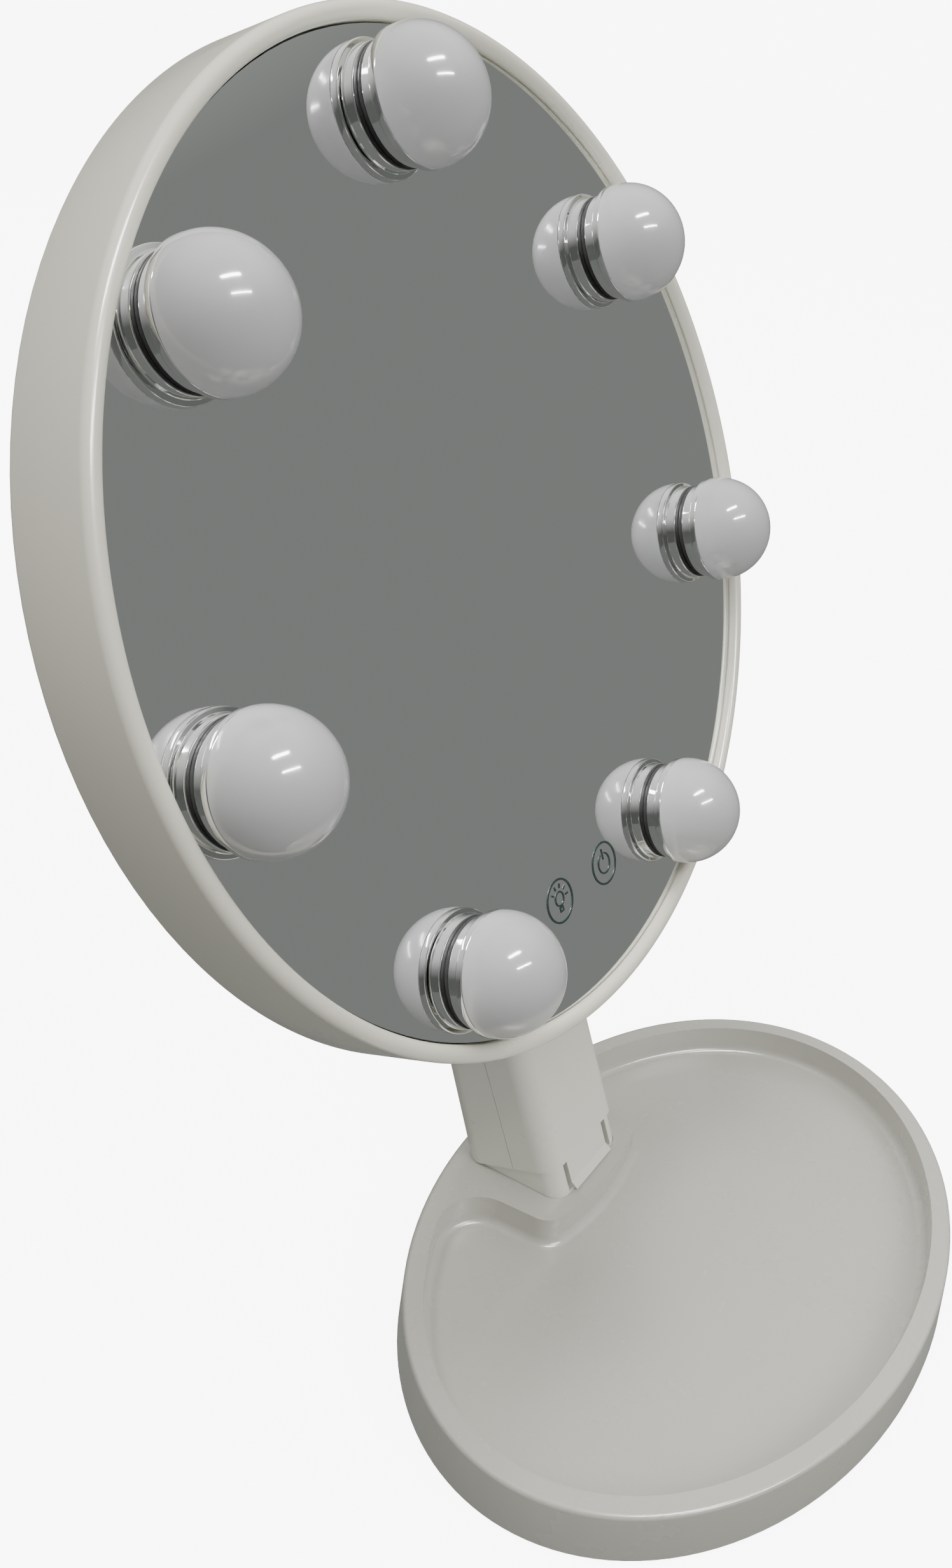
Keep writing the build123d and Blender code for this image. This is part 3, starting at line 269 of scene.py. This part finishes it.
def bend(cx, cy, radius, start, end, count):
    """Points of an arc in a turning profile, from start to end degrees."""
    points = []
    for step in range(count + 1):
        angle = math.radians(start + (end - start) * step / count)
        points.append((cx + radius * math.cos(angle), cy + radius * math.sin(angle)))
    return points


def turned(name, profile, steps):
    """A mesh turned about z from a closed profile of (radius, height) in millimetres."""
    on_axis, crease = 1e-6, math.radians(40)
    soup = bmesh.new()
    rings = []
    for radius, height in profile:
        if radius < on_axis:
            rings.append([soup.verts.new((0, 0, height / 1000))])
            continue
        ring = []
        for step in range(steps):
            angle = 2 * math.pi * step / steps
            ring.append(
                soup.verts.new(
                    (radius * math.cos(angle) / 1000, radius * math.sin(angle) / 1000, height / 1000)
                )
            )
        rings.append(ring)
    for low, high in zip(rings, rings[1:] + rings[:1]):
        for step in range(steps):
            after = (step + 1) % steps
            if len(low) == 1 and len(high) == 1:
                continue
            if len(low) == 1:
                soup.faces.new((low[0], high[after], high[step]))
            elif len(high) == 1:
                soup.faces.new((low[step], low[after], high[0]))
            else:
                soup.faces.new((low[step], low[after], high[after], high[step]))
    bmesh.ops.recalc_face_normals(soup, faces=soup.faces)
    for face in soup.faces:
        face.smooth = True
    mesh = bpy.data.meshes.new(name)
    soup.to_mesh(mesh)
    soup.free()
    mesh.set_sharp_from_angle(angle=crease)
    return mesh


def add_piece(name, mesh, body, finish, slot, *replaced):
    piece = bpy.data.objects.new(name, mesh)
    bpy.context.scene.collection.objects.link(piece)
    mesh.materials.clear()
    mesh.materials.append(finish)
    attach(piece, body)
    if replaced:
        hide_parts(*replaced)
    return piece


drum_radius, drum_bore, drum_inner = 123.8, 119.4, 121.4
lip_radius, lip_proud, back_round = (drum_radius - drum_bore) / 2, 2.9, 0.25
lip_centre = lip_proud - lip_radius
ring_back, ledge_back, ledge_front, ledge_bore = -18.2, -6.6, -4.6, 114.0
bezel_profile = (
    bend(drum_radius - back_round, ring_back + back_round, back_round, -90, 0, 3)
    + bend(drum_bore + lip_radius, lip_centre, lip_radius, 0, 180, 20)
    + [(drum_bore, ledge_front), (ledge_bore, ledge_front), (ledge_bore, ledge_back)]
    + [(drum_inner, ledge_back), (drum_inner, ring_back)]
)
bezel_mesh = turned("front bezel", bezel_profile, 288)
bezel_mesh.transform(head_place)
drum_plastic = moulded_plastic(
    "drum plastic", (0.80, 0.782, 0.67), (0.79, 0.768, 0.65), 0.20, 0.28, share=0.03
)
add_piece("bezel_ring", bezel_mesh, "head", drum_plastic, "cream_plastic", "front_bezel")
from_cad("rear_cover", "head", drum_plastic)
from_cad("housing_screws", "head", zinc)

# ---------------------------------------------------------------------------------------------
# Mirror. Silvered float glass on foam tape over a moulded carrier plate, which is screwed to the
# ledge inside the bezel. Two touch keys are printed near the bottom, a lamp and a power sign.
silvered, tree, shader, place = new_finish("silvered glass")
shader.inputs["Metallic"].default_value = 1.0
dust = specks(tree, place, 210, 0.05, 0.03)
tree.links.new(
    blend_colours(tree, dust, (0.80, 0.815, 0.805), (0.50, 0.50, 0.49)), shader.inputs["Base Color"]
)
haze = remap(tree, noise(tree, place, 20, 4), 0.4, 0.8, 0.005, 0.03)
film = tree.nodes.new("ShaderNodeMath")
film.operation = "MAXIMUM"
tree.links.new(haze, film.inputs[0])
tree.links.new(remap(tree, dust, 0, 1, 0, 0.5), film.inputs[1])
tree.links.new(film.outputs[0], shader.inputs["Roughness"])
mirror = from_cad("mirror_glass", "head", silvered)
for face in mirror.data.polygons:
    face.use_smooth = False

key_ink, tree, shader, place = new_finish("key ink")
tree.links.new(
    blend_colours(tree, noise(tree, place, 900, 2), (0.010, 0.028, 0.022), (0.02, 0.045, 0.036)),
    shader.inputs["Base Color"],
)
tree.links.new(remap(tree, noise(tree, place, 1200, 2), 0.3, 0.7, 0.3, 0.5), shader.inputs["Roughness"])
for node in ("key_lamp", "key_power"):
    from_cad(node, "head", key_ink)

foam, tree, shader, place = new_finish("foam tape")
tree.links.new(
    blend_colours(tree, noise(tree, place, 500, 2), (0.55, 0.55, 0.52), (0.42, 0.42, 0.40)),
    shader.inputs["Base Color"],
)
shader.inputs["Roughness"].default_value = 0.9
bump(tree, shader, noise(tree, place, 1500, 2), 0.00005, 0.6)
from_cad("glass_tape", "head", foam)
grey_plastic = moulded_plastic("carrier plastic", (0.16, 0.16, 0.165), (0.14, 0.14, 0.145), 0.45, 0.6)
from_cad("carrier_plate", "head", grey_plastic)
from_cad("carrier_screws", "head", zinc)


def circuit_board(name, light, dark):
    finish, tree, shader, place = new_finish(name)
    lanes = tree.nodes.new("ShaderNodeTexBrick")
    lanes.inputs["Scale"].default_value = 260
    lanes.inputs["Color1"].default_value = (*light, 1)
    lanes.inputs["Color2"].default_value = (*dark, 1)
    brighter = 1.4  # the copper between the lanes
    lanes.inputs["Mortar"].default_value = (*(part * brighter for part in light), 1)
    tree.links.new(place, lanes.inputs["Vector"])
    tree.links.new(lanes.outputs["Color"], shader.inputs["Base Color"])
    rough = remap(tree, noise(tree, place, 300, 2), 0.3, 0.7, 0.3, 0.45)
    tree.links.new(rough, shader.inputs["Roughness"])
    return finish


green_board = circuit_board("green board", (0.02, 0.12, 0.06), (0.015, 0.09, 0.045))
for node in ("touch_board", "control_board"):
    from_cad(node, "head", green_board)

wire_sleeve, tree, shader, place = new_finish("wire sleeve")
tree.links.new(
    blend_colours(tree, noise(tree, place, 200, 2), (0.35, 0.02, 0.015), (0.28, 0.015, 0.012)),
    shader.inputs["Base Color"],
)
tree.links.new(remap(tree, noise(tree, place, 500, 2), 0.3, 0.7, 0.35, 0.5), shader.inputs["Roughness"])
from_cad("led_wiring", "head", wire_sleeve)

# ---------------------------------------------------------------------------------------------
# Bulbs. Seven alike on an arc that leaves a gap at the bottom for the keys: an opal globe a
# little more than a half ball, seated in a chrome collar of two bands, on a black gasket that
# seals it to the glass; the collar's stem passes through to a nut behind the carrier.
bulb_count, bulb_ring, bulb_step = 7, 0.1024, math.radians(50.57)
first_bulb = math.radians(90) - bulb_step * (bulb_count - 1) / 2


def arc_tree():
    """Copies the incoming mesh to points spaced by a step round a ring in the xy plane."""
    tree = bpy.data.node_groups.new("Places on a ring", "GeometryNodeTree")
    face = tree.interface
    face.new_socket("Mesh", in_out="INPUT", socket_type="NodeSocketGeometry")
    face.new_socket("Count", in_out="INPUT", socket_type="NodeSocketInt")
    face.new_socket("Ring radius", in_out="INPUT", socket_type="NodeSocketFloat")
    face.new_socket("First angle", in_out="INPUT", socket_type="NodeSocketFloat")
    face.new_socket("Step angle", in_out="INPUT", socket_type="NodeSocketFloat")
    face.new_socket("Finish", in_out="INPUT", socket_type="NodeSocketMaterial")
    face.new_socket("Mesh", in_out="OUTPUT", socket_type="NodeSocketGeometry")
    given = tree.nodes.new("NodeGroupInput")
    made = tree.nodes.new("NodeGroupOutput")
    points = tree.nodes.new("GeometryNodePoints")
    index = tree.nodes.new("GeometryNodeInputIndex")
    tree.links.new(given.outputs["Count"], points.inputs["Count"])

    def sum_up(operation, first, second):
        node = tree.nodes.new("ShaderNodeMath")
        node.operation = operation
        tree.links.new(first, node.inputs[0])
        if second is not None:
            tree.links.new(second, node.inputs[1])
        return node.outputs[0]

    turn = sum_up("MULTIPLY", index.outputs[0], given.outputs["Step angle"])
    angle = sum_up("ADD", turn, given.outputs["First angle"])
    spot = tree.nodes.new("ShaderNodeCombineXYZ")
    across = sum_up("MULTIPLY", sum_up("COSINE", angle, None), given.outputs["Ring radius"])
    upward = sum_up("MULTIPLY", sum_up("SINE", angle, None), given.outputs["Ring radius"])
    tree.links.new(across, spot.inputs["X"])
    tree.links.new(upward, spot.inputs["Y"])
    tree.links.new(spot.outputs[0], points.inputs["Position"])
    facing = tree.nodes.new("ShaderNodeCombineXYZ")
    tree.links.new(angle, facing.inputs["Z"])
    copies = tree.nodes.new("GeometryNodeInstanceOnPoints")
    tree.links.new(points.outputs[0], copies.inputs["Points"])
    tree.links.new(given.outputs["Mesh"], copies.inputs["Instance"])
    tree.links.new(facing.outputs[0], copies.inputs["Rotation"])
    solid = tree.nodes.new("GeometryNodeRealizeInstances")
    tree.links.new(copies.outputs[0], solid.inputs[0])
    coat = tree.nodes.new("GeometryNodeSetMaterial")
    tree.links.new(solid.outputs[0], coat.inputs["Geometry"])
    tree.links.new(given.outputs["Finish"], coat.inputs["Material"])
    tree.links.new(coat.outputs[0], made.inputs[0])
    return tree


places_on_ring = arc_tree()


def on_ring(name, mesh, finish, slot, *replaced):
    """The mesh repeated at the bulbs' places, as one plain mesh that rides on the head."""
    pattern = bpy.data.objects.new(name, mesh)
    bpy.context.scene.collection.objects.link(pattern)
    maker = pattern.modifiers.new("places", "NODES")
    maker.node_group = places_on_ring
    sockets = places_on_ring.interface.items_tree
    named = {socket.name: socket.identifier for socket in sockets if socket.in_out == "INPUT"}
    maker[named["Count"]] = bulb_count
    maker[named["Ring radius"]] = bulb_ring
    maker[named["First angle"]] = first_bulb
    maker[named["Step angle"]] = bulb_step
    maker[named["Finish"]] = finish
    view = bpy.context.evaluated_depsgraph_get()
    plain = bpy.data.meshes.new_from_object(pattern.evaluated_get(view))
    pattern.modifiers.remove(maker)
    bpy.data.objects.remove(pattern)
    plain.transform(head_place)
    return add_piece(name, plain, "head", finish, slot, *replaced)


globe_radius, globe_up, globe_wall = 15.2, 6.9, 1.2
globe_low, globe_foot, skirt_out, shoulder = 6.5, 5.15, 13.85, 0.7
skirt_in = skirt_out - globe_wall
outer_from = -math.degrees(math.asin((globe_up - globe_low) / globe_radius))
inner_radius = globe_radius - globe_wall
inner_from = math.degrees(math.asin(shoulder / inner_radius))
globe_profile = (
    bend(0, globe_up, globe_radius, outer_from, 90, 40)[:-1]
    + [(0, globe_up + globe_radius), (0, globe_up + inner_radius)]
    + bend(0, globe_up, inner_radius, 90, inner_from, 24)[1:]
    + [(skirt_in, globe_up + shoulder), (skirt_in, globe_foot)]
    + [(skirt_out, globe_foot), (skirt_out, globe_low)]
)
opal, tree, shader, place = new_finish("opal globe")
tree.links.new(
    blend_colours(tree, noise(tree, place, 60, 3), (0.55, 0.545, 0.55), (0.53, 0.53, 0.54)),
    shader.inputs["Base Color"],
)
tree.links.new(remap(tree, noise(tree, place, 150, 3), 0.3, 0.7, 0.10, 0.16), shader.inputs["Roughness"])
shader.inputs["Subsurface Weight"].default_value = 0.25
shader.inputs["Subsurface Radius"].default_value = (0.006, 0.006, 0.006)
shader.inputs["Coat Weight"].default_value = 0.6
shader.inputs["Coat Roughness"].default_value = 0.03
bump(tree, shader, noise(tree, place, 90, 2), 0.00002, 0.25)
on_ring(
    "opal_globes", turned("globe", globe_profile, 96),
    opal, "opal", *(f"bulb_globe_{n}" for n in range(1, 8)),
)

chrome, tree, shader, place = new_finish("chrome collar")
shader.inputs["Metallic"].default_value = 1.0
tree.links.new(
    blend_colours(tree, noise(tree, place, 160, 3), (0.83, 0.83, 0.83), (0.74, 0.735, 0.73)),
    shader.inputs["Base Color"],
)
tree.links.new(remap(tree, noise(tree, place, 260, 4), 0.35, 0.75, 0.03, 0.11), shader.inputs["Roughness"])
bump(tree, shader, noise(tree, place, 130, 3), 0.00012, 0.22)
low_band, band_step, collar_low, collar_top = 13.8, 4.0, 1.1, 6.4
stem_in, stem_out, stem_end = 6.4, 8.0, -8.0
seat_radius, seat_level, cup_radius, wire_hole = 14.0, 5.0, 12.6, 1.6
floor_low, floor_top = 1.2, 2.4
low_round, high_round, rim_round = 0.45, 0.55, 0.3
collar_profile = (
    [(stem_in, stem_end), (stem_out, stem_end), (stem_out, collar_low)]
    + [(low_band - low_round, collar_low)]
    + bend(low_band - low_round, collar_low + low_round, low_round, -90, 0, 4)[1:]
    + bend(low_band + low_round, band_step - 0.2, low_round, 180, 110, 4)
    + bend(globe_radius - high_round, band_step + 0.8, high_round, -70, 0, 4)
    + bend(globe_radius - rim_round, collar_top - rim_round, rim_round, 0, 90, 4)
    + [(seat_radius, collar_top), (seat_radius, seat_level), (cup_radius, seat_level)]
    + [(cup_radius, floor_top), (wire_hole, floor_top), (wire_hole, floor_low), (stem_in, floor_low)]
)
on_ring(
    "chrome_collars", turned("collar", collar_profile, 96),
    chrome, "chrome", *(f"bulb_collar_{n}" for n in range(1, 8)),
)

gasket_rubber, tree, shader, place = new_finish("gasket rubber")
tree.links.new(
    blend_colours(tree, noise(tree, place, 400, 3), (0.008, 0.008, 0.008), (0.016, 0.016, 0.015)),
    shader.inputs["Base Color"],
)
tree.links.new(remap(tree, noise(tree, place, 600, 2), 0.3, 0.7, 0.45, 0.65), shader.inputs["Roughness"])
gasket_in, gasket_out, gasket_round = 8.2, low_band - 0.2, 0.25
gasket_bend = gasket_out - gasket_round
gasket_profile = (
    [(gasket_in, 0.0)] + bend(gasket_bend, gasket_round, gasket_round, -90, 0, 3)
    + bend(gasket_bend, collar_low - gasket_round, gasket_round, 0, 90, 3)
    + [(gasket_in, collar_low)]
)
on_ring("bulb_seals", turned("gasket", gasket_profile, 96), gasket_rubber, "rubber", "bulb_gaskets")
from_cad("bulb_nuts", "head", zinc)
white_board = circuit_board("white board", (0.72, 0.72, 0.70), (0.68, 0.68, 0.66))
for n in range(1, 8):
    from_cad(f"led_board_{n}", "head", white_board)

# ---------------------------------------------------------------------------------------------
# Studio. Floor and room look nearly white from the viewer's place. Reflections and bounced light
# meet an even grey instead, which is what the mirror shows. A broad key light stands in front, a
# second hangs behind, and two narrow ceiling strips glint on the globes.
floor_mesh = bpy.data.meshes.new("floor")
soup = bmesh.new()
bmesh.ops.create_grid(soup, x_segments=2, y_segments=2, size=6)
soup.to_mesh(floor_mesh)
soup.free()
floor = bpy.data.objects.new("floor", floor_mesh)
bpy.context.scene.collection.objects.link(floor)
floor_paint, tree, shader, place = new_finish("floor paint")
path = tree.nodes.new("ShaderNodeLightPath").outputs
seen = path["Is Camera Ray"]
reflected_grey, bounced_grey, floor_white = (0.235, 0.243, 0.235), (0.24, 0.24, 0.23), (7.5, 7.5, 7.5)
pale = blend_colours(tree, noise(tree, place, 2, 2), (0.92, 0.92, 0.92), (0.90, 0.90, 0.90))
tree.links.new(blend_colours(tree, seen, (0.0, 0.0, 0.0), pale), shader.inputs["Base Color"])
unseen = blend_colours(tree, path["Is Diffuse Ray"], reflected_grey, bounced_grey)
tree.links.new(blend_colours(tree, seen, unseen, floor_white), shader.inputs["Emission Color"])
shader.inputs["Emission Strength"].default_value = 1.0
shader.inputs["Roughness"].default_value = 0.8
shader.inputs["Specular IOR Level"].default_value = 0.0
floor_mesh.materials.append(floor_paint)


def ramp(tree, value, stops):
    """A colour ramp through two or more (position, colour) stops, in rising order."""
    node = tree.nodes.new("ShaderNodeValToRGB")
    marks = node.color_ramp.elements
    for mark, (position, colour) in ((marks[0], stops[0]), (marks[1], stops[-1])):
        mark.position, mark.color = position, (*colour, 1)
    for position, colour in stops[1:-1]:
        marks.new(position).color = (*colour, 1)
    tree.links.new(value, node.inputs["Fac"])
    return node.outputs["Color"]


def scaled(tree, colour, amount):
    node = tree.nodes.new("ShaderNodeVectorMath")
    node.operation = "SCALE"
    tree.links.new(colour, node.inputs[0])
    tree.links.new(amount, node.inputs["Scale"])
    return node.outputs[0]


# the room: a bright ceiling over grey walls, dimmer towards the left; reflections and bounced
# light each see their own version of it, and the camera sees only a near-white backdrop
world = bpy.data.worlds.new("studio")
world.use_nodes = True
sky = world.node_tree
path = sky.nodes.new("ShaderNodeLightPath").outputs
split = sky.nodes.new("ShaderNodeSeparateXYZ")
sky.links.new(sky.nodes.new("ShaderNodeTexCoord").outputs["Generated"], split.inputs[0])
across, depth, height = split.outputs["X"], split.outputs["Y"], split.outputs["Z"]
ceiling_from = 0.80  # how far up the ceiling begins
room = ramp(
    sky, height, ((0.36, reflected_grey), (0.55, (0.62, 0.62, 0.61)), (ceiling_from, (1.5, 1.5, 1.48)))
)
reflected = scaled(sky, room, remap(sky, across, -0.9, 0.3, 0.55, 1.0))
overcast = ramp(sky, height, ((0.0, (0.36, 0.36, 0.35)), (ceiling_from, (1.05, 1.05, 1.03))))
from_front = remap(sky, depth, -0.9, 0.9, 1.9, 0.6)
from_right = remap(sky, across, -0.9, 0.4, 0.42, 1.0)
both = sky.nodes.new("ShaderNodeMath")
both.operation = "MULTIPLY"
sky.links.new(from_front, both.inputs[0])
sky.links.new(from_right, both.inputs[1])
bounced = scaled(sky, overcast, both.outputs[0])
lit = blend_colours(sky, path["Is Diffuse Ray"], reflected, bounced)
backdrop = blend_colours(sky, path["Is Camera Ray"], lit, (8.5, 8.5, 8.5))
sky.links.new(backdrop, sky.nodes["Background"].inputs["Color"])
bpy.context.scene.world = world


def soft_light(name, place, aim, width, height, power):
    lamp = bpy.data.lights.new(name, "AREA")
    lamp.shape = "RECTANGLE"
    lamp.size, lamp.size_y, lamp.energy = width, height, power
    holder = bpy.data.objects.new(name, lamp)
    bpy.context.scene.collection.objects.link(holder)
    holder.matrix_world = Matrix.Translation(place) @ (
        (Vector(aim) - Vector(place)).to_track_quat("-Z", "Y").to_matrix().to_4x4()
    )
    return holder


key = soft_light("key", (-0.35, -1.5, 1.35), (0, 0, 0.15), 1.0, 1.0, 15)
key.visible_glossy = False
back_light = soft_light("back light", (-0.35, 0.55, 2.0), (0, 0.05, 0.2), 0.8, 0.8, 24)
back_light.visible_glossy = False
strip_width, strip_turn, ceiling = 0.12, math.radians(-16), 1.66
strips = (("strip one", -0.20, -0.60, 0.7, 45), ("strip two", -0.24, -1.62, 1.1, 80))
for name, x, y, long, power in strips:
    spot = (x, y, ceiling)
    strip = soft_light(name, spot, (x, y, 0), long, strip_width, power)
    strip.matrix_world = Matrix.Translation(spot) @ Matrix.Rotation(strip_turn, 4, "Z")
    strip.visible_diffuse = False

# camera: close by on the left, just above the head, looking down across the mirror
right = Vector((0.49647, -0.86243, 0.09863))
up = Vector((0.37570, 0.31591, 0.87124))
back = Vector((-0.78254, -0.39549, 0.48085))
lens = bpy.data.cameras.new("camera")
lens.sensor_fit = "AUTO"
lens.sensor_width = 36.0
lens.lens = 32.4891
lens.shift_x = -0.0792
lens.shift_y = -0.0092
lens.clip_start = 0.01
camera = bpy.data.objects.new("camera", lens)
bpy.context.scene.collection.objects.link(camera)
stand = Vector((-0.28044, -0.09684, 0.31834))
camera.matrix_world = Matrix.Translation(stand) @ Matrix((right, up, back)).transposed().to_4x4()
bpy.context.scene.camera = camera
